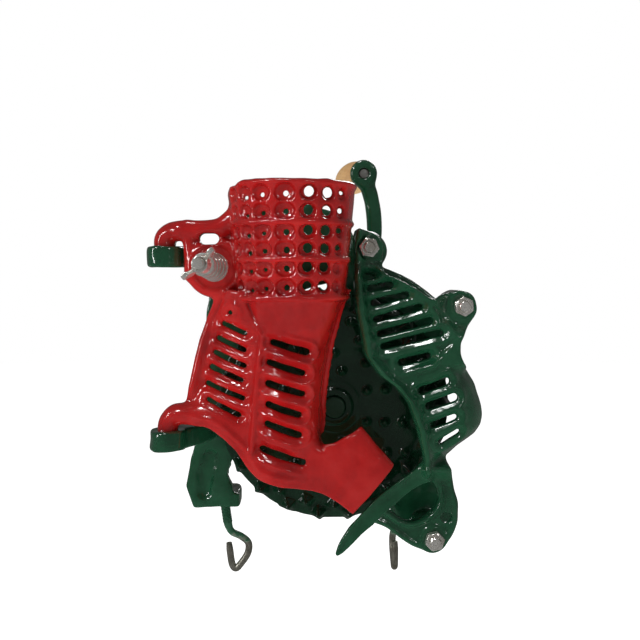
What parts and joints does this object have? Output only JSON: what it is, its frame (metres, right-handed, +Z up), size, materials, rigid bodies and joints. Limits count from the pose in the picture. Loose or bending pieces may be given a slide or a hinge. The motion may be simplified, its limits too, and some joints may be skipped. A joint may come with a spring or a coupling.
{
  "type": "corn sheller",
  "caption": "Hand-cranked cast-iron corn sheller: perforated hopper on a hinged spring-loaded cover, toothed disc, slotted guard and clamp feet.",
  "frame": {"origin": "middle of the clamp seat, the flat underside of the frame's rail", "axes": "+X to the crank's side of the front, +Z up, the front faces -Y"},
  "size_m": [0.2523, 0.2648, 0.3455],
  "materials": {
    "red_enamel": "thick glossy red enamel on cast iron",
    "green_enamel": "thick glossy dark green enamel on cast iron",
    "zinc": "zinc plated, satin",
    "spring_steel": "plated spring wire",
    "steel": "turned steel, lightly oiled",
    "screw_steel": "bare steel with green overspray near the thread",
    "grip_wood": "turned pale hardwood, waxed"
  },
  "bodies": {
    "stand": {"frame": "green_enamel", "guard": "green_enamel", "tension_bolt": "zinc", "guard_bolt_1": "zinc", "guard_bolt_2": "zinc", "guard_bolt_3": "zinc", "guard_nut_1": "zinc", "guard_nut_2": "zinc", "guard_nut_3": "zinc"},
    "rotor": {"shelling_disc": "green_enamel", "drive_shaft": "steel", "disc_pin": "steel", "thrust_washer": "steel", "crank_washer": "steel", "crank_arm": "green_enamel", "crank_nut": "zinc", "grip_bolt": "steel", "grip_washer": "steel"},
    "handle": {"grip": "grip_wood"},
    "cover": {"feed_cover": "red_enamel"},
    "tension": {"spring_washer": "zinc", "tension_spring": "spring_steel"},
    "wing": {"wing_nut": "zinc"},
    "left_pad": {"left_clamp_pad": "screw_steel"},
    "left_screw": {"left_clamp_screw": "screw_steel"},
    "right_pad": {"right_clamp_pad": "screw_steel"},
    "right_screw": {"right_clamp_screw": "screw_steel"}
  },
  "joints": [
    {"name": "rotor_spin", "type": "hinge", "parent": "stand", "child": "rotor", "pos_m": [0.023, -0.04, 0.034], "axis": [0, 1, 0], "continuous": true},
    {"name": "grip_spin", "type": "hinge", "parent": "rotor", "child": "handle", "pos_m": [0.0515, 0.032, 0.219], "axis": [-0.0747, 0.9966, 0.0349], "continuous": true},
    {"name": "cover_swing", "type": "hinge", "parent": "stand", "child": "cover", "pos_m": [-0.101, -0.062, 0.094], "axis": [0, 0, -1], "range_deg": [0, 8], "stiffness_Nm_per_rad": 6, "springref_deg": -5.73, "deforming": ["tension_spring"]},
    {"name": "wing_nut_turn", "type": "hinge", "parent": "tension", "child": "wing", "pos_m": [-0.0639, -0.074, 0.1407], "axis": [-0.1601, -0.9856, 0.055], "range_deg": [-734.4, 0]},
    {"name": "spring_seat_slide", "type": "slide", "parent": "stand", "child": "tension", "axis": [-0.1601, -0.9856, 0.055], "range_m": [-0.0025, 0], "deforming": ["tension_spring"]},
    {"name": "left_screw_turn", "type": "hinge", "parent": "left_pad", "child": "left_screw", "pos_m": [-0.065, 0.002, -0.051], "axis": [-0.1392, 0, 0.9903], "range_deg": [-2203.2, 4406.4]},
    {"name": "left_pad_slide", "type": "slide", "parent": "stand", "child": "left_pad", "axis": [-0.1392, 0, 0.9903], "range_m": [-0.0075, 0.015]},
    {"name": "right_screw_turn", "type": "hinge", "parent": "right_pad", "child": "right_screw", "pos_m": [0.076, 0.002, -0.051], "axis": [0, 0, 1], "range_deg": [-2203.2, 4406.4]},
    {"name": "right_pad_slide", "type": "slide", "parent": "stand", "child": "right_pad", "axis": [0, 0, 1], "range_m": [-0.0075, 0.015]}
  ],
  "couplings": [
    {"joint": "wing_nut_turn", "follows": "spring_seat_slide", "rad_per_m": 5026.5},
    {"joint": "left_screw_turn", "follows": "left_pad_slide", "rad_per_m": 5026.5},
    {"joint": "right_screw_turn", "follows": "right_pad_slide", "rad_per_m": 5026.5}
  ]
}
